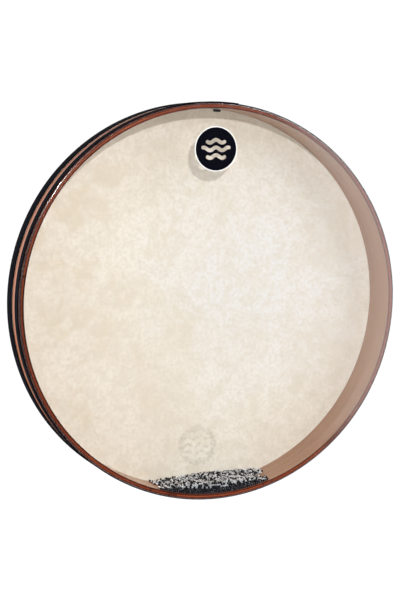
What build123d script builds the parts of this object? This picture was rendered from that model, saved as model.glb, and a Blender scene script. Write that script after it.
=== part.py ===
from build123d import *

import os
from math import cos, radians, sin

# A sea drum: a shallow frame drum of bent plywood with a goatskin head at the back, a clear film
# head at the front and loose steel beads sealed in between. Rocked or turned, the beads roll
# round the wall and over the skin and sound like surf.
#
# Millimetres. The drum stands upright with its axis along Y. The film faces -Y, +Z is up, and
# the origin is the middle of the drum.

# Driving dimensions
overall_diameter = 560.0
overall_depth = 66.0

tape_thickness = 1.0
skin_thickness = 0.5
film_thickness = 0.4
ply_thickness = {"outer": 2.3, "core": 2.5, "inner": 2.0}
front_edge_chamfer = 1.5
rear_edge_chamfer = 0.6

# Along the axis from the back: rear tape, bare wood, front tape, and last the bare edge of the film.
rear_tape_width = 27.9
bare_stripe_width = 17.7
front_tape_width = 17.4
rear_tape_lip = 2.0
head_short_of_tape = 1.0

# Angles round the drum are in degrees from +X towards +Z, so 90 is the top and -90 the bottom.
tape_overlap_angles = (82.0, 101.0)

vent_angle = 86.7
vent_hole_radius = 5.4
vent_bore_radius = 3.9
vent_flange_radius = 7.5
vent_flange_thickness = 0.6
vent_washer_radius = 7.0
vent_washer_thickness = 1.0
vent_inner_height = 4.7
vent_inner_round = 1.2

label_radius = 32.0
label_thickness = 0.25
label_centre = (3.7, 215.3)

pile_clearance = 0.35
pile_channel_clearance = 0.6
pile_turn = 1.7
pile_rear_height = 14.0
pile_front_height = 12.6

# Sizes that follow from them
outer_radius = overall_diameter / 2
front_y = -overall_depth / 2
rear_y = overall_depth / 2
shell_radius = outer_radius - tape_thickness - skin_thickness
inner_radius = shell_radius - sum(ply_thickness.values())
shell_front_y = front_y + film_thickness
shell_rear_y = rear_y - tape_thickness - skin_thickness
skin_face_y = rear_y - tape_thickness
rear_tape_end_y = rear_y - rear_tape_width
front_tape_end_y = rear_tape_end_y - bare_stripe_width
front_tape_start_y = front_tape_end_y - front_tape_width
rear_fold_end_y = rear_tape_end_y + head_short_of_tape
front_fold_end_y = front_tape_end_y - head_short_of_tape
vent_y = (rear_tape_end_y + front_tape_end_y) / 2


def plug(radius, chamfer, face_y, end_y):
    """A solid disc about the drum's axis, the edge of its face at face_y chamfered."""
    facing = 1 if face_y > end_y else -1
    outline = Polyline(
        (0, face_y),
        (radius - chamfer, face_y),
        (radius, face_y - facing * chamfer),
        (radius, end_y),
        (0, end_y),
        close=True,
    )
    return revolve(make_face(outline), Axis.Y)


def wrapped_chamfer(chamfer, thickness):
    """The chamfer on the outside of a layer that keeps its thickness over a chamfered edge."""
    return chamfer + (2 - 2**0.5) * thickness


def ring(high_radius, low_radius, low_y, high_y):
    """A plain ring about the drum's axis."""
    section = Pos((high_radius + low_radius) / 2, (low_y + high_y) / 2)
    section *= Rectangle(high_radius - low_radius, high_y - low_y)
    return revolve(section, Axis.Y)


def sector(radius, low_angle, high_angle, low_y, high_y):
    """A wedge of the drum between two angles, out to a radius, to cut rings with."""
    corner = [(radius * cos(radians(a)), radius * sin(radians(a))) for a in (low_angle, high_angle)]
    outline = Polyline(corner[1], (0, 0), corner[0])
    mid_angle = radians((low_angle + high_angle) / 2)
    outline += ThreePointArc(corner[0], (radius * cos(mid_angle), radius * sin(mid_angle)), corner[1])
    upright = Plane(origin=(0, low_y, 0), x_dir=(1, 0, 0), z_dir=(0, -1, 0))
    return extrude(upright * make_face(outline), amount=low_y - high_y)


def vent_place(radius):
    """A plane on the vent's own axis at a distance from the drum's axis, its Z pointing outwards."""
    outwards = (cos(radians(vent_angle)), 0, sin(radians(vent_angle)))
    spot = (radius * outwards[0], vent_y, radius * outwards[2])
    return Plane(origin=spot, x_dir=(0, 1, 0), z_dir=outwards)


def vent_cylinder(radius, low, high):
    """A cylinder on the vent's axis between two distances from the drum's axis."""
    bottom_up = (Align.CENTER, Align.CENTER, Align.MIN)
    return vent_place(low) * Cylinder(radius, high - low, align=bottom_up)


def shell_plies():
    """The three plies that are bent and glued into the drum's wall, with the vent drilled through."""
    wall = plug(shell_radius, front_edge_chamfer, shell_front_y, 0)
    wall += plug(shell_radius, rear_edge_chamfer, shell_rear_y, 0)
    wall -= vent_cylinder(vent_hole_radius, inner_radius - 1, shell_radius + 1)
    plies = {}
    high = shell_radius
    for layer, thickness in ply_thickness.items():
        low = high - thickness
        band = ring(high, low, shell_front_y, shell_rear_y)
        plies[f"shell_{layer}_ply"] = wall & band
        high = low
    return plies


def head(name, thickness, chamfer, face_y, flange_end_y):
    """A drum head as two nodes that meet where its fold begins.

    The first is the flat disc, and the second the fold over the shell's chamfered edge and down
    its outside.
    """
    facing = 1 if face_y > flange_end_y else -1
    outside_chamfer = wrapped_chamfer(chamfer, thickness)
    outside = plug(shell_radius + thickness, outside_chamfer, face_y, flange_end_y)
    inside = plug(shell_radius, chamfer, face_y - facing * thickness, flange_end_y)
    cup = outside - inside
    flat = ring(shell_radius - chamfer, 0, front_y, rear_y)
    return {name: cup & flat, f"{name}_fold": cup - flat}


def rear_tape():
    """Woven tape over the goatskin's fold, turned a little way over the rear edge."""
    under_radius = shell_radius + skin_thickness
    under_chamfer = wrapped_chamfer(rear_edge_chamfer, skin_thickness)
    outside_chamfer = wrapped_chamfer(under_chamfer, tape_thickness)
    outside = plug(outer_radius, outside_chamfer, rear_y, rear_tape_end_y)
    inside = plug(under_radius, under_chamfer, skin_face_y, rear_tape_end_y)
    opening = ring(under_radius - under_chamfer - rear_tape_lip, 0, rear_tape_end_y, rear_y)
    return outside - inside - opening


def front_tape():
    """Woven tape over the film's fold, with its two ends lapped at the top."""
    under_radius = shell_radius + film_thickness
    layer_radius = under_radius + tape_thickness
    strip = ring(layer_radius, under_radius, front_tape_start_y, front_tape_end_y)
    lap = ring(layer_radius + tape_thickness, layer_radius, front_tape_start_y, front_tape_end_y)
    lap &= sector(outer_radius + 5, *tape_overlap_angles, front_tape_start_y, front_tape_end_y)
    return strip + lap


def vent_eyelet():
    """A flanged tube pushed through the shell from outside, its inner end left standing proud."""
    inner_end = inner_radius - vent_inner_height
    flange_face = shell_radius + vent_flange_thickness
    tube = vent_cylinder(vent_hole_radius, inner_end, shell_radius)
    tube = fillet(tube.edges().group_by(Axis.Z)[0], vent_inner_round)
    tube += vent_cylinder(vent_flange_radius, shell_radius, flange_face)
    return tube - vent_cylinder(vent_bore_radius, inner_end - 1, flange_face + 1)


def vent_washer():
    """A flat washer round the eyelet, its rim against the curved inner wall."""
    wall_face = (inner_radius**2 - vent_washer_radius**2) ** 0.5
    disc = vent_cylinder(vent_washer_radius, wall_face - vent_washer_thickness, wall_face)
    return disc - vent_cylinder(vent_hole_radius, inner_radius - 5, inner_radius + 5)


def label():
    """A round sticker on the outside of the film."""
    x, z = label_centre
    on_film = Plane(origin=(x, front_y, z), x_dir=(1, 0, 0), z_dir=(0, -1, 0))
    return extrude(on_film * Circle(label_radius), amount=label_thickness)


def bead_pile():
    """The beads' heap at the bottom as one solid, with a channel that clears the vent's inner end.

    Its top is flat, turned a little about the drum's axis and lower at the front than at the back.
    """
    low_y = front_y + film_thickness + pile_clearance
    high_y = shell_rear_y - pile_clearance
    heap_radius = inner_radius - pile_clearance
    whole = ring(heap_radius, inner_radius / 2, low_y, high_y)
    slope = Polyline(
        (low_y, -inner_radius + pile_front_height),
        (high_y, -inner_radius + pile_rear_height),
        (high_y, -outer_radius),
        (low_y, -outer_radius),
        close=True,
    )
    under = extrude(Plane.YZ * make_face(slope), amount=outer_radius, both=True)
    heap = whole & (Rot(0, -pile_turn, 0) * under)
    channel_half = vent_washer_radius + pile_channel_clearance
    channel_radius = inner_radius - vent_inner_height - pile_channel_clearance
    channel = ring(inner_radius, channel_radius, vent_y - channel_half, vent_y + channel_half)
    return heap - channel


parts = {
    **shell_plies(),
    **head("rear_skin", skin_thickness, rear_edge_chamfer, skin_face_y, rear_fold_end_y),
    **head("front_film", film_thickness, front_edge_chamfer, front_y, front_fold_end_y),
    "rear_tape": rear_tape(),
    "front_tape": front_tape(),
    "vent_eyelet": vent_eyelet(),
    "vent_washer": vent_washer(),
    "label": label(),
    "bead_pile": bead_pile(),
}

os.makedirs("parts", exist_ok=True)
for name, shape in parts.items():
    export_step(shape, f"parts/{name}.step")
    print(name, len(shape.solids()), "solid", round(shape.volume / 1000, 2), "cm3")
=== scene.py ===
import random
from math import atan2, cos, hypot, pi, radians, sin

import bmesh
import bpy
from mathutils import Matrix, Vector, kdtree, noise


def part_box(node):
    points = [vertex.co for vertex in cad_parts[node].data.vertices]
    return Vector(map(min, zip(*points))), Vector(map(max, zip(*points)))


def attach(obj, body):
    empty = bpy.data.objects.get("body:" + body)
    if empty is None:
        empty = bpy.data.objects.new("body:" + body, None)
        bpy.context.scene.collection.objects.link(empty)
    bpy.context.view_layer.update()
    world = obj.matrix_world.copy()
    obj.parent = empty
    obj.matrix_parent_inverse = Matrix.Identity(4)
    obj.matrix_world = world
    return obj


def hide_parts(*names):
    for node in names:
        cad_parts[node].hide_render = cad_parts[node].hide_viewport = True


# A sea drum: a shallow frame drum with a goatskin behind, a clear film in front and steel beads
# between them. Metres. The drum's axis is Y, the film faces -Y and +Z is up.

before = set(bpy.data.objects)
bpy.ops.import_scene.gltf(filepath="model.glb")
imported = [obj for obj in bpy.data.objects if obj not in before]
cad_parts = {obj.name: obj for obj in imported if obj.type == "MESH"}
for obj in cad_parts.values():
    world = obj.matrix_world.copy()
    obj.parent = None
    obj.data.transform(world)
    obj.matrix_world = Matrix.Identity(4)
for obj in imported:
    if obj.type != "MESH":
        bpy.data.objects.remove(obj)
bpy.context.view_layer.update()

MM = 0.001
TAU = 2 * pi

# Places that the frame gives
outer_ply_low, outer_ply_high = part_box("shell_outer_ply")
rear_tape_low, rear_tape_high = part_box("rear_tape")
front_tape_low, front_tape_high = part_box("front_tape")
film_fold_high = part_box("front_film_fold")[1]
skin_fold_low, skin_fold_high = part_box("rear_skin_fold")
label_low, label_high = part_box("label")
eyelet_low, eyelet_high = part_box("vent_eyelet")
eyelet_middle = (eyelet_low + eyelet_high) / 2

# Along the axis
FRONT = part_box("front_film")[0].y
BACK = rear_tape_high.y
SHELL_FRONT = outer_ply_low.y
SHELL_BACK = outer_ply_high.y
SKIN_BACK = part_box("rear_skin")[1].y

# Out from the axis: the outside of each ply, the wall's inside, and the outside of each fold
SHELL_RADIUS = outer_ply_high.x
CORE_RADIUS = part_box("shell_core_ply")[1].x
LINING_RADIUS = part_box("shell_inner_ply")[1].x
LINING_THICKNESS = 2.0 * MM
INNER_RADIUS = LINING_RADIUS - LINING_THICKNESS
FILM_RADIUS = film_fold_high.x
SKIN_RADIUS = skin_fold_high.x

# Sizes that the frame's boxes don't show, the same as in the CAD but for the rounds
EDGE_ROUND = 1.5 * MM
REAR_ROUND = 0.8 * MM
REAR_LIP = 2.0 * MM
TAPE_LAP = (radians(82), radians(101))
TAPE = rear_tape_high.x - SKIN_RADIUS

VENT_ANGLE = atan2(eyelet_middle.z, eyelet_middle.x)
VENT_Y = eyelet_middle.y
VENT_RADIUS = 5.4 * MM
VENT_BORE = 3.9 * MM
VENT_INNER_HEIGHT = 4.7 * MM
VENT_RING_RADIUS = 7.0 * MM
VENT_RING_THICKNESS = 1.0 * MM

BEAD = 1.5 * MM

# Where the two ends of each ring's strip of texture meet: low on the right.
SEAM = radians(-52)

# The camera's place and lens, and the direction from which it looks in, in degrees.
CAMERA_PLACE = (-0.81504, -2.25069, 0.25575)
CAMERA_LENS = 101.66
VIEW_AZIMUTH = -19.743
VIEW_ELEVATION = 6.085

# How brightly the camera sees the plain white room and floor.
PLAIN_WHITE = 1.05


def facing_out(azimuth, elevation):
    """The direction from the drum towards a place at this azimuth and elevation, in degrees."""
    a, e = radians(azimuth), radians(elevation)
    return Vector((sin(a) * cos(e), -cos(a) * cos(e), sin(e)))


# ---------------------------------------------------------------- camera, light and floor


def add_camera():
    data = bpy.data.cameras.new("view_camera")
    data.lens = CAMERA_LENS
    camera = bpy.data.objects.new("view_camera", data)
    camera.location = CAMERA_PLACE
    camera.rotation_euler = facing_out(VIEW_AZIMUTH, VIEW_ELEVATION).to_track_quat("Z", "Y").to_euler()
    bpy.context.scene.collection.objects.link(camera)
    bpy.context.scene.camera = camera


def add_lamp(name, azimuth, elevation, distance, size, power):
    """A soft rectangular light at a place round the drum, turned to the drum's middle."""
    data = bpy.data.lights.new(name, "AREA")
    data.shape = "RECTANGLE"
    data.size, data.size_y = size
    data.energy = power
    lamp = bpy.data.objects.new(name, data)
    out = facing_out(azimuth, elevation)
    lamp.location = out * distance
    lamp.rotation_euler = out.to_track_quat("Z", "Y").to_euler()
    lamp.visible_camera = False
    bpy.context.scene.collection.objects.link(lamp)


def add_world():
    """A pale studio, brighter behind the drum, and dark only where the film mirrors it.

    The dark is full up to 13 degrees from the mirrored direction, and gone by 26 degrees. The camera
    itself sees plain white all round.
    """
    room, dark, extra_behind = 0.6, 0.03, 0.85
    world = bpy.data.worlds.new("studio")
    world.use_nodes = True
    tree = world.node_tree
    tree.nodes.clear()
    direction = add(tree, "TexCoord").outputs["Generated"]
    mirrored = tuple(facing_out(18, -8))
    towards = add(tree, "VectorMath", {0: direction, 1: mirrored}, operation="DOT_PRODUCT")
    strength = between(tree, towards.outputs["Value"], 0.9, 0.975, room, dark)
    backwards = add(tree, "SeparateXYZ", {0: direction}).outputs[1]
    strength = maths(tree, "ADD", strength, between(tree, backwards, 0.2, 0.8, 0, extra_behind))
    lit = add(tree, "Background", {"Color": (0.97, 0.98, 1.0, 1), "Strength": strength})
    white = add(tree, "Background", {"Color": (1, 1, 1, 1), "Strength": PLAIN_WHITE})
    add(tree, "OutputWorld", {"Surface": plain_to_camera(tree, lit, white)})
    bpy.context.scene.world = world


def plain_to_camera(tree, lit, plain):
    """A shader that the camera sees as plain, and everything else as lit."""
    is_seen = add(tree, "LightPath").outputs["Is Camera Ray"]
    return add(tree, "MixShader", {0: is_seen, 1: lit.outputs[0], 2: plain.outputs[0]}).outputs[0]


def add_floor():
    """A plain pale floor some way below the drum, which is held in the air.

    It ends a little in front of the drum, so that the film has a dark room to mirror there.
    """
    mesh = bpy.data.meshes.new("floor")
    half, near, level = 6.0, -0.7, -0.9
    corners = [(-half, near, level), (half, near, level), (half, half, level), (-half, half, level)]
    mesh.from_pydata(corners, [], [(0, 1, 2, 3)])
    floor = bpy.data.objects.new("floor", mesh)
    bpy.context.scene.collection.objects.link(floor)
    material, tree, shader = new_material("pale_floor")
    shader.inputs["Base Color"].default_value = (0.8, 0.8, 0.8, 1)
    shader.inputs["Roughness"].default_value = 0.9
    glow = add(tree, "Emission", {"Color": (1, 1, 1, 1), "Strength": PLAIN_WHITE})
    put_out(tree, plain_to_camera(tree, shader, glow))
    mesh.materials.append(material)


# ---------------------------------------------------------------- node helpers


def new_material(name):
    material = bpy.data.materials.new(name)
    material.use_nodes = True
    tree = material.node_tree
    return material, tree, tree.nodes["Principled BSDF"]


def add(tree, kind, inputs=None, **settings):
    """A shader node, each input either joined to a socket or set to a value."""
    made = tree.nodes.new("ShaderNode" + kind)
    for name, value in settings.items():
        setattr(made, name, value)
    for name, value in (inputs or {}).items():
        if isinstance(value, bpy.types.NodeSocket):
            tree.links.new(value, made.inputs[name])
        else:
            made.inputs[name].default_value = value
    return made


def put_out(tree, surface):
    """Makes a shader's socket the material's surface."""
    tree.links.new(surface, tree.nodes["Material Output"].inputs["Surface"])


def maths(tree, operation, a, b=0.0, clamp=False):
    return add(tree, "Math", {0: a, 1: b}, operation=operation, use_clamp=clamp).outputs[0]


def between(tree, value, low, high, to_low=0.0, to_high=1.0):
    """value carried from the range low to high over to another range, smoothly and clamped."""
    inputs = {"Value": value, "From Min": low, "From Max": high, "To Min": to_low, "To Max": to_high}
    return add(tree, "MapRange", inputs, interpolation_type="SMOOTHSTEP").outputs[0]


def mixed(tree, factor, a, b):
    """Colour a turned to b by a factor. Either is a socket or three numbers."""
    made = add(tree, "Mix", {0: factor}, data_type="RGBA")
    for index, value in ((6, a), (7, b)):
        if isinstance(value, bpy.types.NodeSocket):
            tree.links.new(value, made.inputs[index])
        else:
            made.inputs[index].default_value = (*value, 1)
    return made.outputs[2]


def stretched(tree, vector, scale):
    """Coordinates scaled along each axis, so that a larger scale makes finer marks."""
    return add(tree, "Mapping", {"Vector": vector, "Scale": scale}).outputs[0]


def noise_of(tree, vector, scale, detail=4.0, roughness=0.55, distortion=0.0):
    inputs = {
        "Vector": vector,
        "Scale": scale,
        "Detail": detail,
        "Roughness": roughness,
        "Distortion": distortion,
    }
    return add(tree, "TexNoise", inputs).outputs[0]


def bumped(tree, height, strength, distance):
    inputs = {"Height": height, "Strength": strength, "Distance": distance}
    return add(tree, "Bump", inputs).outputs[0]


def strip_coordinates(tree):
    """The lathed pieces' own map: metres round the drum, then metres across the strip."""
    return add(tree, "UVMap", uv_map="strip").outputs[0]


def object_coordinates(tree):
    return add(tree, "TexCoord").outputs["Object"]


# ---------------------------------------------------------------- materials


def wood(name, dark, middle, light, roughness, coat, coat_roughness=0.12):
    """Stained, lacquered ply with its grain running round the drum."""
    material, tree, shader = new_material(name)
    strip = strip_coordinates(tree)
    broad = noise_of(tree, stretched(tree, strip, (3, 60, 1)), 1.0, 3)
    grain = noise_of(tree, stretched(tree, strip, (9, 700, 1)), 1.0, 6, 0.6, 0.6)
    fibre = noise_of(tree, stretched(tree, strip, (60, 5200, 1)), 1.0, 3)
    pores = noise_of(tree, stretched(tree, strip, (180, 3600, 1)), 1.0, 2)
    tone = maths(tree, "ADD", maths(tree, "MULTIPLY", broad, 0.45), maths(tree, "MULTIPLY", grain, 0.55))
    colour = mixed(tree, between(tree, tone, 0.36, 0.52), dark, middle)
    colour = mixed(tree, between(tree, tone, 0.5, 0.66), colour, light)
    colour = mixed(tree, between(tree, fibre, 0.3, 0.7, 0.0, 0.22), colour, dark)
    colour = mixed(tree, between(tree, pores, 0.62, 0.72, 0.0, 0.5), colour, [c * 0.35 for c in dark])
    tree.links.new(colour, shader.inputs["Base Color"])
    rough = between(tree, grain, 0.3, 0.7, roughness - 0.07, roughness + 0.08)
    tree.links.new(rough, shader.inputs["Roughness"])
    height = maths(tree, "SUBTRACT", fibre, between(tree, pores, 0.6, 0.72, 0, 1.2))
    tree.links.new(bumped(tree, height, 0.35, 0.00012), shader.inputs["Normal"])
    shader.inputs["Coat Weight"].default_value = coat
    shader.inputs["Coat Roughness"].default_value = coat_roughness
    return material


def woven_tape():
    """Black cloth tape in a plain weave, matt, with a painted cold glint on the thread crests, a little
    paler where it is worn.
    """
    material, tree, shader = new_material("black_woven_tape")
    strip = strip_coordinates(tree)
    split = add(tree, "SeparateXYZ", {0: strip})
    warp_pitch, weft_pitch = 0.55 * MM, 0.5 * MM
    along = maths(tree, "MULTIPLY", split.outputs[0], TAU / (2 * warp_pitch))
    across = maths(tree, "MULTIPLY", split.outputs[1], TAU / (2 * weft_pitch))
    over = maths(tree, "MULTIPLY", maths(tree, "SINE", along), maths(tree, "SINE", across))
    thread = maths(tree, "ABSOLUTE", over)
    uneven = noise_of(tree, stretched(tree, strip, (90, 700, 1)), 1.0, 4)
    worn = noise_of(tree, stretched(tree, strip, (14, 60, 1)), 1.0, 4)
    height = maths(tree, "ADD", thread, maths(tree, "MULTIPLY", uneven, 0.7))
    # Painted glint: the crests of the threads get a paler, cold black that stands in for the cloth's
    # sheen.
    crest_glint = between(tree, height, 0.55, 1.3)
    colour = mixed(tree, crest_glint, (0.0015, 0.0015, 0.0025), (0.005, 0.0055, 0.010))
    colour = mixed(tree, between(tree, worn, 0.5, 0.75, 0, 0.5), colour, (0.012, 0.014, 0.022))
    tree.links.new(colour, shader.inputs["Base Color"])
    tree.links.new(between(tree, height, 0.3, 1.4, 0.95, 0.75), shader.inputs["Roughness"])
    tree.links.new(bumped(tree, height, 0.6, 0.00018), shader.inputs["Normal"])
    shader.inputs["Specular IOR Level"].default_value = 0.02
    return material


def goatskin():
    """Natural goatskin: warm cream, clouded and veined, with pores and a faint round stamp low down.

    It is thin enough to let some of the light behind it through, which comes out yellower.
    """
    palest = (0.10, 0, 0.02)
    translucence = 0.4
    material, tree, shader = new_material("natural_goatskin")
    place = object_coordinates(tree)
    flat = stretched(tree, place, (1, 0.3, 1))
    clouds = noise_of(tree, flat, 5.0, 5, 0.6, 0.4)
    patches = noise_of(tree, flat, 22.0, 6, 0.62, 0.8)
    blotches = noise_of(tree, flat, 75.0, 5, 0.6, 0.5)
    fine = noise_of(tree, flat, 210.0, 4, 0.6)
    pores = noise_of(tree, flat, 900.0, 2)
    split = add(tree, "SeparateXYZ", {0: place})
    away = add(tree, "VectorMath", {0: place, 1: palest}, operation="DISTANCE").outputs["Value"]
    colour = mixed(tree, between(tree, away, 0.05, 0.25), (0.89, 0.9, 0.93), (0.945, 0.915, 0.865))
    colour = mixed(tree, between(tree, clouds, 0.42, 0.68, 0, 0.32), colour, (0.83, 0.76, 0.65))
    leftwards = between(tree, split.outputs[0], 0.05, -0.25, 0.3, 1.0)
    stain = maths(tree, "MULTIPLY", between(tree, patches, 0.46, 0.66, 0, 0.55), leftwards)
    colour = mixed(tree, stain, colour, (0.74, 0.64, 0.47))
    colour = mixed(tree, between(tree, blotches, 0.42, 0.66, 0, 0.5), colour, (0.77, 0.72, 0.63))
    colour = mixed(tree, between(tree, fine, 0.42, 0.64, 0, 0.6), colour, (0.77, 0.72, 0.64))
    colour = mixed(tree, between(tree, pores, 0.58, 0.75, 0, 0.18), colour, (0.55, 0.45, 0.33))
    colour = mixed(tree, stamp_mask(tree, split, fine), colour, (0.46, 0.42, 0.35))
    tree.links.new(colour, shader.inputs["Base Color"])
    tree.links.new(between(tree, patches, 0.3, 0.7, 0.5, 0.66), shader.inputs["Roughness"])
    height = maths(tree, "ADD", fine, maths(tree, "MULTIPLY", pores, 0.35))
    tree.links.new(bumped(tree, height, 0.25, 0.0002), shader.inputs["Normal"])
    through = add(tree, "BsdfTranslucent", {"Color": mixed(tree, 0.5, colour, (0.96, 0.89, 0.77))})
    both = add(tree, "MixShader", {0: translucence, 1: shader.outputs[0], 2: through.outputs[0]})
    put_out(tree, both.outputs[0])
    return material


def stamp_mask(tree, split, fine):
    """How strongly the round wave stamp near the bottom of the skin shows, patchy as an old ink stamp."""
    stamp_x, stamp_z = -0.7 * MM, -213.6 * MM
    stamp_radius, sign_radius = 30 * MM, 22.5 * MM
    wave_length, wave_height, wave_pitch = 19 * MM, 2.6 * MM, 5.5 * MM
    x = maths(tree, "SUBTRACT", split.outputs[0], stamp_x)
    z = maths(tree, "SUBTRACT", split.outputs[2], stamp_z)
    squares = maths(tree, "ADD", maths(tree, "POWER", x, 2), maths(tree, "POWER", z, 2))
    reach = maths(tree, "SQRT", squares)
    disc = between(tree, reach, stamp_radius, stamp_radius - 1.5 * MM)
    phase = maths(tree, "MULTIPLY", x, TAU / wave_length)
    swell = maths(tree, "MULTIPLY", maths(tree, "SINE", phase), wave_height)
    rows = maths(tree, "PINGPONG", maths(tree, "SUBTRACT", z, swell), wave_pitch)
    waves = between(tree, rows, 1.2 * MM, 2.6 * MM)
    inside = between(tree, reach, sign_radius, sign_radius - 1.0 * MM)
    print_shape = maths(tree, "SUBTRACT", 1.0, maths(tree, "MULTIPLY", inside, waves))
    patchy = between(tree, fine, 0.36, 0.62, 0.1, 0.34)
    return maths(tree, "MULTIPLY", maths(tree, "MULTIPLY", disc, print_shape), patchy)


def clear_film():
    """Clear glossy polyester: see-through, and it mirrors more of the room the flatter it is seen.

    A face mirrors only from outside the film, and the flat face more than the rounded fold.
    """
    material, tree, shader = new_material("clear_film")
    place = object_coordinates(tree)
    wave = noise_of(tree, place, 7.0, 2)
    scuffs = noise_of(tree, stretched(tree, place, (60, 60, 260)), 1.0, 4)
    mirror = add(tree, "Fresnel", {"IOR": 1.62}).outputs[0]
    surface = add(tree, "NewGeometry")
    front = maths(tree, "SUBTRACT", 1.0, surface.outputs["Backfacing"])
    facing = add(tree, "SeparateXYZ", {0: surface.outputs["Normal"]}).outputs[1]
    gain = between(tree, maths(tree, "ABSOLUTE", facing), 0.8, 0.99, 0.15, 1.8)
    share = maths(tree, "MULTIPLY", maths(tree, "MULTIPLY", mirror, gain), front, clamp=True)
    clear = add(tree, "BsdfTransparent", {"Color": (0.995, 0.995, 0.99, 1)})
    shader.inputs["Base Color"].default_value = (1, 1, 1, 1)
    shader.inputs["Metallic"].default_value = 1.0
    tree.links.new(between(tree, scuffs, 0.35, 0.75, 0.13, 0.19), shader.inputs["Roughness"])
    tree.links.new(bumped(tree, wave, 0.05, 0.004), shader.inputs["Normal"])
    both = add(tree, "MixShader", {0: share, 1: clear.outputs[0], 2: shader.outputs[0]})
    put_out(tree, both.outputs[0])
    return material


def print_ink(name, colour, roughness):
    """A printed layer with a slight orange peel and tiny scuffs."""
    material, tree, shader = new_material(name)
    shader.inputs["Specular IOR Level"].default_value = 0.1
    place = object_coordinates(tree)
    peel = noise_of(tree, place, 900.0, 3)
    scuff = noise_of(tree, stretched(tree, place, (300, 300, 900)), 1.0, 4)
    worn = [c + 0.01 for c in colour]
    scuffed = mixed(tree, between(tree, scuff, 0.55, 0.75, 0, 0.4), colour, worn)
    rough = between(tree, scuff, 0.35, 0.7, roughness, roughness + 0.08)
    tree.links.new(scuffed, shader.inputs["Base Color"])
    tree.links.new(rough, shader.inputs["Roughness"])
    tree.links.new(bumped(tree, peel, 0.15, 0.0001), shader.inputs["Normal"])
    return material


def metal(name, dark, light, low_rough, high_rough):
    """Turned or plated metal, scratched and a little tarnished."""
    material, tree, shader = new_material(name)
    place = object_coordinates(tree)
    tarnish = noise_of(tree, place, 500.0, 5)
    scratch = noise_of(tree, stretched(tree, place, (400, 2500, 400)), 1.0, 3)
    colour = mixed(tree, between(tree, tarnish, 0.4, 0.65), dark, light)
    tree.links.new(colour, shader.inputs["Base Color"])
    tree.links.new(between(tree, scratch, 0.35, 0.7, low_rough, high_rough), shader.inputs["Roughness"])
    tree.links.new(bumped(tree, scratch, 0.12, 0.00005), shader.inputs["Normal"])
    shader.inputs["Metallic"].default_value = 1.0
    return material


def bead_steel():
    """Polished steel balls, each a little brighter or duller than the next, and darkened low at the front
    as painted shade.
    """
    material, tree, shader = new_material("steel_bead")
    tint = add(tree, "Attribute", attribute_name="tint").outputs["Fac"]
    smudge = noise_of(tree, object_coordinates(tree), 1400.0, 3)
    colour = mixed(tree, tint, (0.012, 0.012, 0.02), (0.92, 0.95, 1.0))
    colour = mixed(tree, between(tree, smudge, 0.5, 0.75, 0, 0.2), colour, (0.2, 0.19, 0.18))
    tree.links.new(colour, shader.inputs["Base Color"])
    tree.links.new(between(tree, smudge, 0.3, 0.7, 0.2, 0.36), shader.inputs["Roughness"])
    shader.inputs["Metallic"].default_value = 1.0
    return material


# ---------------------------------------------------------------- mesh helpers


def finish_mesh(mesh):
    """Turns a mesh's faces outwards, and smooths it but for its real edges."""
    work = bmesh.new()
    work.from_mesh(mesh)
    bmesh.ops.recalc_face_normals(work, faces=work.faces)
    work.to_mesh(mesh)
    work.free()
    mesh.shade_smooth()
    mesh.set_sharp_from_angle(angle=radians(35))


def arc(centre, radius, start, end, steps):
    """Points of an arc in a (radius, y) outline, angles in degrees from outwards towards +Y."""
    points = []
    for step in range(steps + 1):
        a = radians(start + (end - start) * step / steps)
        points.append((centre[0] + radius * cos(a), centre[1] + radius * sin(a)))
    return points


def even_angles(count=540):
    """The places round the drum where a lathed piece has its points."""
    return [SEAM + TAU * step / count for step in range(count)]


def link(name, mesh):
    """A new piece in the scene."""
    piece = bpy.data.objects.new(name, mesh)
    bpy.context.scene.collection.objects.link(piece)
    return piece


def ring_faces(steps, count, rows):
    """Faces between neighbouring sections, each of count points, of a shape that closes on itself."""
    faces = []
    for step in range(steps):
        here, there = step * count, (step + 1) % steps * count
        for k in range(rows):
            n = (k + 1) % count
            faces.append((here + k, here + n, there + n, there + k))
    return faces


def lathe(name, outline, angles=None, shift=None):
    """A piece turned about the drum's axis from an outline of (radius, y) points.

    An outline whose ends are on the axis makes a disc. Any other is closed into a ring. shift, if
    given, takes (angle, radius, y) and returns the moved (radius, y).
    """
    angles = angles or even_angles()
    is_disc = outline[0][0] == 0
    ring_points = [p for p in outline if p[0] > 0]
    count = len(ring_points)
    vertices = []
    for angle in angles:
        for radius, y in ring_points:
            if shift:
                radius, y = shift(angle, radius, y)
            vertices.append((radius * cos(angle), y, radius * sin(angle)))
    faces = ring_faces(len(angles), count, count - 1 if is_disc else count)
    if is_disc:
        for end, k in ((outline[0], 0), (outline[-1], count - 1)):
            vertices.append((0, end[1], 0))
            hub = len(vertices) - 1
            for step in range(len(angles)):
                here, there = step * count, (step + 1) % len(angles) * count
                faces.append((hub, here + k, there + k))
    mesh = bpy.data.meshes.new(name)
    mesh.from_pydata(vertices, [], faces)
    finish_mesh(mesh)
    map_strip(mesh, max(p[0] for p in ring_points))
    return link(name, mesh)


def map_strip(mesh, reference):
    """Lays out a lathed mesh in metres: round the drum at a reference radius, and across its section."""
    layer = mesh.uv_layers.new(name="strip")
    for face in mesh.polygons:
        start = None
        for loop in face.loop_indices:
            x, y, z = mesh.vertices[mesh.loops[loop].vertex_index].co
            turn = (atan2(z, x) - SEAM) % TAU
            if start is None:
                start = turn
            if turn - start > pi:
                turn -= TAU
            if turn - start < -pi:
                turn += TAU
            layer.data[loop].uv = (turn * reference, y + hypot(x, z))


def give(piece, material, body, nodes):
    """Gives a piece its material, puts it on its body, and hides the CAD nodes that it stands in for."""
    piece.data.materials.append(material)
    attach(piece, body)
    if nodes:
        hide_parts(*nodes)


# ---------------------------------------------------------------- shell


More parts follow.
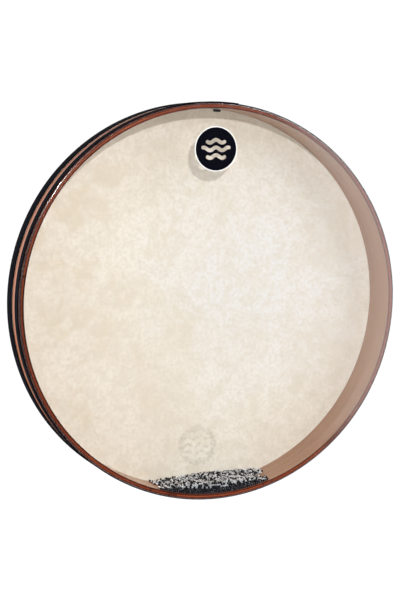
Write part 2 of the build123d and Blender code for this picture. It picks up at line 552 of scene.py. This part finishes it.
def ply(name, high, low, edge, face, node):
    """One bent ply. Its edges are eased a hair, so the glue lines read as fine dark joints.

    The face material goes on the outside of the outer ply, and on the inside of the others.
    """
    ease = 0.15 * MM
    is_outer = high == SHELL_RADIUS
    front, back = SHELL_FRONT, SHELL_BACK
    outline = [(low, front + ease), (low + ease, front)]
    if is_outer:
        centre = (high - EDGE_ROUND, front + EDGE_ROUND)
        outline += arc(centre, EDGE_ROUND, -90, 0, 8)
        centre = (high - REAR_ROUND, back - REAR_ROUND)
        outline += arc(centre, REAR_ROUND, 0, 90, 5)
    else:
        outline += [(high - ease, front), (high, front + ease), (high, back - ease), (high - ease, back)]
    outline += [(low + ease, back), (low, back - ease)]
    piece = lathe(name, outline)
    drill_vent(piece)
    give(piece, edge, "drum", [node])
    piece.data.materials.append(face)
    face_radius = high if is_outer else low
    for polygon in piece.data.polygons:
        if abs(hypot(polygon.center.x, polygon.center.z) - face_radius) < 0.05 * MM:
            polygon.material_index = 1


def drill_vent(piece):
    """Cuts the vent's round hole through a ply."""
    radius = VENT_RADIUS
    drill = bmesh.new()
    bmesh.ops.create_cone(drill, cap_ends=True, segments=64, radius1=radius, radius2=radius, depth=50 * MM)
    mesh = bpy.data.meshes.new("drill")
    drill.to_mesh(mesh)
    drill.free()
    cutter = link("drill", mesh)
    cutter.matrix_world = vent_matrix(INNER_RADIUS)
    cut = piece.modifiers.new("vent", "BOOLEAN")
    cut.object = cutter
    cut.operation = "DIFFERENCE"
    cut.solver = "EXACT"
    bpy.context.view_layer.update()
    graph = bpy.context.evaluated_depsgraph_get()
    cut_mesh = bpy.data.meshes.new_from_object(piece.evaluated_get(graph), depsgraph=graph)
    piece.modifiers.clear()
    piece.data = cut_mesh
    bpy.data.objects.remove(cutter)


def vent_matrix(radius):
    """The vent's own frame: its Z points out of the drum, and it starts this far from the axis."""
    out = Vector((cos(VENT_ANGLE), 0, sin(VENT_ANGLE)))
    turn = out.to_track_quat("Z", "Y").to_matrix().to_4x4()
    return Matrix.Translation(out * radius + Vector((0, VENT_Y, 0))) @ turn


def build_shell():
    """Three plies in four finishes. Each stain runs from its dark lines to its light ones."""
    dark = (0.02, 0.002, 0.001), (0.075, 0.007, 0.002), (0.15, 0.017, 0.004)
    orange = (0.11, 0.017, 0.004), (0.2, 0.036, 0.009), (0.31, 0.072, 0.021)
    tan = (0.28, 0.115, 0.046), (0.37, 0.17, 0.08), (0.43, 0.22, 0.112)
    bare = (0.25, 0.06, 0.015), (0.36, 0.1, 0.028), (0.44, 0.145, 0.048)
    edge = wood("stained_ply_dark", *dark, roughness=0.18, coat=0.1)
    core = wood("stained_ply_core", *orange, roughness=0.18, coat=0.1)
    lining = wood("stained_ply_lining", *tan, roughness=0.4, coat=0.4, coat_roughness=0.25)
    stripe = wood("stained_ply_outside", *bare, roughness=0.45, coat=0.05)
    ply("outer_ply", SHELL_RADIUS, CORE_RADIUS, edge, stripe, "shell_outer_ply")
    ply("core_ply", CORE_RADIUS, LINING_RADIUS, core, core, "shell_core_ply")
    ply("inner_ply", LINING_RADIUS, INNER_RADIUS, edge, lining, "shell_inner_ply")


# ---------------------------------------------------------------- heads and tapes


def head_outline(radius, thickness, edge_round, face, facing, flange_end):
    """A head's section: across the outside of the disc, round the fold, down the flange and back."""
    outside_round = edge_round + thickness
    turn = (radius - outside_round, face - facing * outside_round)
    disc_steps = [k / 12 * (radius - outside_round) for k in range(12)]
    outside = [(r, face) for r in disc_steps] + arc(turn, outside_round, 90 * facing, 0, 8)
    inside = arc(turn, edge_round, 0, 90 * facing, 8)
    inside += [(r, face - facing * thickness) for r in reversed(disc_steps)]
    return outside + [(radius, flange_end), (radius - thickness, flange_end)] + inside


def build_heads():
    """The goatskin behind and the film in front, each with its fold down the outside of the shell."""
    thickness = SKIN_RADIUS - SHELL_RADIUS
    outline = head_outline(SKIN_RADIUS, thickness, REAR_ROUND, SKIN_BACK, 1, skin_fold_low.y)
    skin = lathe("goatskin_head", outline)
    give(skin, goatskin(), "drum", ["rear_skin", "rear_skin_fold"])
    thickness = FILM_RADIUS - SHELL_RADIUS
    outline = head_outline(FILM_RADIUS, thickness, EDGE_ROUND, FRONT, -1, film_fold_high.y)
    film = lathe("film_head", outline)
    give(film, clear_film(), "drum", ["front_film", "front_film_fold"])


def frayed(angle, y, edge_y, amount):
    """Where a point at y of a woven tape's cut edge strays to at this angle."""
    slow = noise.noise(Vector((angle * 40, edge_y * 90, 0)))
    quick = noise.noise(Vector((angle * 190, 3, 0)))
    return y + (slow + 0.5 * quick) * amount


def build_rear_tape(tape):
    """The rear tape, from its cut edge on the skin's fold over the rear edge to its lip."""
    rear_end = rear_tape_low.y
    under = SKIN_RADIUS
    round_under = REAR_ROUND + (SKIN_RADIUS - SHELL_RADIUS)
    centre = (under - round_under, BACK - TAPE - round_under)
    outline = [(under, rear_end), (under + TAPE * 0.75, rear_end), (under + TAPE, rear_end + TAPE * 0.4)]
    outline += arc(centre, round_under + TAPE, 0, 90, 8)
    outline += [(centre[0] - REAR_LIP, BACK), (centre[0] - REAR_LIP, BACK - TAPE)]
    outline += arc(centre, round_under, 90, 0, 8)

    def shift(angle, radius, y):
        at_edge = y < rear_end + TAPE
        return radius, (frayed(angle, y, rear_end, 0.15 * MM) if at_edge else y)

    rear = lathe("rear_tape_band", outline, even_angles(720), shift)
    give(rear, tape, "drum", ["rear_tape"])


def build_front_tape(tape):
    """The front tape. Its end lies over its start as a second layer, which steps up and tapers off."""
    low, high = front_tape_low.y, front_tape_high.y
    under = FILM_RADIUS
    over = under + TAPE
    bevel_in, bevel_along = 0.15 * MM, 0.25 * MM
    outline = [
        (under, high),
        (under, low),
        (over - bevel_in, low),
        (over, low + bevel_along),
        (over, high - bevel_along),
        (over - bevel_in, high),
    ]
    lap_end, lap_start = TAPE_LAP
    taper = radians(2.5)
    angles = sorted(even_angles(720) + [lap_end + 0.0001, lap_end + 0.0011])

    def shift(angle, radius, y):
        turn = (angle - lap_end) % TAU
        raised = 0.0
        if 0.0005 < turn < lap_start - lap_end:
            raised = min(1.0, (lap_start - lap_end - turn) / taper)
        edge = low if y < (low + high) / 2 else high
        is_outside = radius > under + 0.1 * MM
        return radius + (raised * TAPE if is_outside else 0), frayed(angle, y, edge, 0.12 * MM)

    front = lathe("front_tape_band", outline, angles, shift)
    give(front, tape, "drum", ["front_tape"])


# ---------------------------------------------------------------- vent


def turned(name, outline, base_radius, steps=96):
    """A small piece turned about the vent's axis from an outline of (radius, height) points."""
    vertices = []
    place = vent_matrix(base_radius)
    for step in range(steps):
        a = TAU * step / steps
        for radius, height in outline:
            vertices.append(place @ Vector((radius * cos(a), radius * sin(a), height)))
    mesh = bpy.data.meshes.new(name)
    mesh.from_pydata(vertices, [], ring_faces(steps, len(outline), len(outline)))
    finish_mesh(mesh)
    return link(name, mesh)


def build_vent():
    """The tube through the wall, its flange outside, and the ring round its inner end."""
    inner_end = INNER_RADIUS - VENT_INNER_HEIGHT
    flange = SHELL_RADIUS - inner_end
    thick, wide, rolled = 0.6 * MM, 7.5 * MM, 1.2 * MM
    outline = [(VENT_BORE, 0.2 * MM), (VENT_BORE + 0.2 * MM, 0)]
    for step in range(7):
        a = radians(90 * step / 6)
        outline.append((VENT_RADIUS - rolled + rolled * sin(a), rolled - rolled * cos(a)))
    outline += [(VENT_RADIUS, flange), (wide, flange), (wide, flange + thick * 0.5)]
    outline += [(wide - thick * 0.4, flange + thick), (VENT_BORE + thick, flange + thick)]
    outline += [(VENT_BORE, flange + thick * 0.4)]
    eyelet = turned("vent_tube", outline, inner_end)
    dark = metal("dark_plating", (0.012, 0.010, 0.014), (0.05, 0.045, 0.05), 0.25, 0.4)
    give(eyelet, dark, "drum", ["vent_eyelet"])
    rim, thickness, bevel = VENT_RING_RADIUS, VENT_RING_THICKNESS, 0.15 * MM
    hole = VENT_RADIUS + 0.02 * MM
    base = (INNER_RADIUS**2 - rim**2) ** 0.5 - thickness
    outline = [(hole, bevel), (hole + bevel, 0), (rim - bevel, 0), (rim, bevel)]
    outline += [(rim, thickness - bevel), (rim - bevel, thickness), (hole, thickness)]
    washer = turned("vent_ring", outline, base)
    bright = metal("plain_steel", (0.62, 0.62, 0.64), (0.85, 0.85, 0.86), 0.35, 0.5)
    give(washer, bright, "drum", ["vent_washer"])


# ---------------------------------------------------------------- label


def circle(radius, steps=180):
    return [(radius * cos(TAU * k / steps), radius * sin(TAU * k / steps)) for k in range(steps)]


def wave_ribbon(level, half_width, thickness, swell, length):
    """A closed outline of a band of even width that rises and falls like a swell, its ends round."""
    steps = 64
    over, under = [], []
    for k in range(steps + 1):
        x = half_width * (2 * k / steps - 1)
        z = level + swell * cos(TAU * x / length)
        slope = -swell * TAU / length * sin(TAU * x / length)
        aside = thickness / 2 / hypot(1, slope)
        over.append((x - slope * aside, z + aside))
        under.append((x + slope * aside, z - aside))
    return over + round_end(over[-1], under[-1]) + under[::-1] + round_end(under[0], over[0])


def round_end(start, end):
    """Points of the half circle that carries an outline clockwise from start to end."""
    middle = Vector(((start[0] + end[0]) / 2, (start[1] + end[1]) / 2))
    arm = Vector(start) - middle
    points = []
    for k in range(1, 8):
        a = -pi * k / 8
        x = middle.x + arm.x * cos(a) - arm.y * sin(a)
        z = middle.y + arm.x * sin(a) + arm.y * cos(a)
        points.append((x, z))
    return points


def plate(name, loops, centre, low_y, high_y):
    """A flat plate facing -Y from closed loops of (x, z): the first is its rim, the rest are cut out."""
    curve = bpy.data.curves.new(name, "CURVE")
    curve.dimensions = "2D"
    curve.fill_mode = "BOTH"
    curve.extrude = (high_y - low_y) / 2
    for loop in loops:
        spline = curve.splines.new("POLY")
        spline.points.add(len(loop) - 1)
        for point, (x, z) in zip(spline.points, loop):
            point.co = (x, z, 0, 1)
        spline.use_cyclic_u = True
    pattern = link(name, curve)
    bpy.context.view_layer.update()
    graph = bpy.context.evaluated_depsgraph_get()
    mesh = bpy.data.meshes.new_from_object(pattern.evaluated_get(graph), depsgraph=graph)
    bpy.data.objects.remove(pattern)
    stand = Matrix.Rotation(radians(90), 4, "X")
    mesh.transform(Matrix.Translation((centre[0], (low_y + high_y) / 2, centre[1])) @ stand)
    work = bmesh.new()
    work.from_mesh(mesh)
    bmesh.ops.remove_doubles(work, verts=work.verts, dist=1e-7)
    work.to_mesh(mesh)
    work.free()
    finish_mesh(mesh)
    mesh.materials.clear()
    return link(name, mesh)


def build_label():
    """A black printed disc with a sign of three waves left clear in it, inside a thin white border."""
    centre = ((label_low.x + label_high.x) / 2, (label_low.z + label_high.z) / 2)
    front, back = label_low.y, label_high.y
    border, face = 31.2 * MM, 30.0 * MM
    pitch, long_wave, short_wave = 10.5 * MM, 19.0 * MM, 12.5 * MM
    loops = [circle(face)]
    for level, half_width in ((pitch, short_wave), (0.0, long_wave), (-pitch, short_wave)):
        loops.append(wave_ribbon(level, half_width, thickness=5.2 * MM, swell=2.0 * MM, length=18.0 * MM))
    ink = plate("label_face", loops, centre, front, back)
    give(ink, print_ink("label_black", (0.003, 0.003, 0.006), 0.08), "drum", ["label"])
    rim = plate("label_border", [circle(border), circle(face)], centre, front, back)
    give(rim, print_ink("label_white", (0.86, 0.86, 0.84), 0.3), "drum", None)


# ---------------------------------------------------------------- beads


def pile_level(y):
    """The heap's top at a depth y: which way down is from it, and how far from the axis it lies."""
    front_height, back_height = 12.6 * MM, 14.0 * MM
    front_lean, back_lean = -89.5, -87.8
    share = (y - FRONT) / (BACK - FRONT)
    lean = radians(front_lean + (back_lean - front_lean) * share)
    return lean, INNER_RADIUS - (front_height + (back_height - front_height) * share)


def below_top(x, y, z, spare):
    """Whether a place is under the heap's top, which is a little domed between its two ends."""
    half_length, dome_height, dome_shift = 85 * MM, 3.6 * MM, 0.08
    lean, distance = pile_level(y)
    along = (x * sin(lean) - z * cos(lean)) / half_length
    dome = dome_height * max(0.0, 1 - (along + dome_shift) ** 2)
    return x * cos(lean) + z * sin(lean) > distance - dome + spare


def heap_centres():
    """Where the beads lie: loose layers on the curved wall, shaken and then pushed apart."""
    rng = random.Random(11)
    step, layer_step, layers = 2.08 * BEAD, 1.72 * BEAD, 7
    row_share, row_offset, layer_offset = 0.866, 0.5, 0.33
    low_y, high_y = SHELL_FRONT + BEAD * 1.05, SHELL_BACK - BEAD * 1.05
    middle, width = radians(-88), radians(44)
    missing, shake = 0.015, 0.3
    centres = []
    for layer in range(layers):
        radius = INNER_RADIUS - BEAD - layer * layer_step
        count = int(width * radius / step)
        rows = int((high_y - low_y) / (step * row_share)) + 1
        for row in range(rows):
            y = low_y + row * step * row_share
            for k in range(count):
                along = (k - count / 2 + row_offset * (row % 2) + layer_offset * (layer % 2)) * step
                angle = middle + along / radius
                x, z = radius * cos(angle), radius * sin(angle)
                ragged = rng.uniform(-1.0, 0.7) * MM if layer else -0.9 * MM
                if below_top(x, y, z, ragged) and rng.random() > missing:
                    centres.append([x + rng.gauss(0, shake) * MM, y + rng.gauss(0, shake) * MM, z])
    settle(centres, low_y, high_y)
    return [centre for centre in centres if not meets_vent(*centre)]


def meets_vent(x, y, z):
    """Whether a bead here would strike the vent's inner end or its ring as the heap sweeps past.

    Real beads flow round it. Here they ride as one heap, so they leave a channel along the wall.
    """
    spare = 0.25 * MM
    height = INNER_RADIUS - hypot(x, z) - BEAD - spare
    aside = abs(y - VENT_Y) - BEAD - spare
    strikes_tube = height < VENT_INNER_HEIGHT and aside < VENT_RADIUS
    return strikes_tube or (height < VENT_RING_THICKNESS and aside < VENT_RING_RADIUS)


def settle(centres, low_y, high_y):
    """Moves beads out of each other and back inside the wall and the two heads."""
    gap = 2 * BEAD
    rounds = 14
    for _ in range(rounds):
        tree = kdtree.KDTree(len(centres))
        for index, centre in enumerate(centres):
            tree.insert(centre, index)
        tree.balance()
        moves = [Vector() for _ in centres]
        for index, centre in enumerate(centres):
            here = Vector(centre)
            for place, other, distance in tree.find_range(centre, gap):
                if other != index and distance > 1e-9:
                    moves[index] += (here - place) / distance * (gap - distance) * 0.5
        for centre, move in zip(centres, moves):
            x, y, z = (c + m for c, m in zip(centre, move))
            reach = hypot(x, z)
            if reach > INNER_RADIUS - BEAD:
                x, z = x * (INNER_RADIUS - BEAD) / reach, z * (INNER_RADIUS - BEAD) / reach
            centre[:] = (x, min(max(y, low_y), high_y), z)


def bead_tint(rng, centre):
    """How bright a bead is: half are dark and half bright, and those low at the front are darkened as
    painted shade.
    """
    shine = rng.random()
    tint = 0.0 if shine < 0.5 else 0.3 + 0.7 * shine
    # Painted shade: beads low against the front film are darkened nearly to black, as if in shadow.
    at_front = centre.y < SHELL_FRONT + 2.6 * BEAD
    low = hypot(centre.x, centre.z) > INNER_RADIUS - 8 * MM
    return tint * (0.08 if at_front and low else 1.0)


def build_beads():
    """All the beads, each a ball of its own, split over a few meshes from left to right."""
    ball = bmesh.new()
    bmesh.ops.create_icosphere(ball, subdivisions=2, radius=BEAD)
    points = [v.co.copy() for v in ball.verts]
    triangles = [[v.index for v in f.verts] for f in ball.faces]
    ball.free()
    centres = heap_centres()
    rng = random.Random(3)
    material = bead_steel()
    centres.sort()
    groups = 3
    for group in range(groups):
        share = centres[group * len(centres) // groups : (group + 1) * len(centres) // groups]
        vertices, faces, tints = [], [], []
        for centre in share:
            start = len(vertices)
            middle = Vector(centre)
            vertices += [middle + p for p in points]
            faces += [[start + k for k in triangle] for triangle in triangles]
            tints += [bead_tint(rng, middle)] * len(points)
        mesh = bpy.data.meshes.new(f"steel_beads_{group + 1}")
        mesh.from_pydata(vertices, [], faces)
        mesh.shade_smooth()
        mesh.attributes.new("tint", "FLOAT", "POINT").data.foreach_set("value", tints)
        give(link(mesh.name, mesh), material, "beads", ["bead_pile"])


# ---------------------------------------------------------------- the scene

bpy.context.scene.view_settings.view_transform = "Standard"
add_camera()
add_world()
add_floor()
add_lamp("key", azimuth=-11.0, elevation=16.8, distance=3.2, size=(0.08, 0.08), power=54)
add_lamp("softbox_right", azimuth=46, elevation=6, distance=3.2, size=(2.2, 2.6), power=27)
add_lamp("softbox_high", azimuth=48, elevation=32, distance=2.8, size=(2.0, 1.6), power=33)
add_lamp("softbox_left", azimuth=-100, elevation=5, distance=2.8, size=(1.6, 2.4), power=50)

build_shell()
build_heads()
black_tape = woven_tape()
build_rear_tape(black_tape)
build_front_tape(black_tape)
build_vent()
build_label()
build_beads()
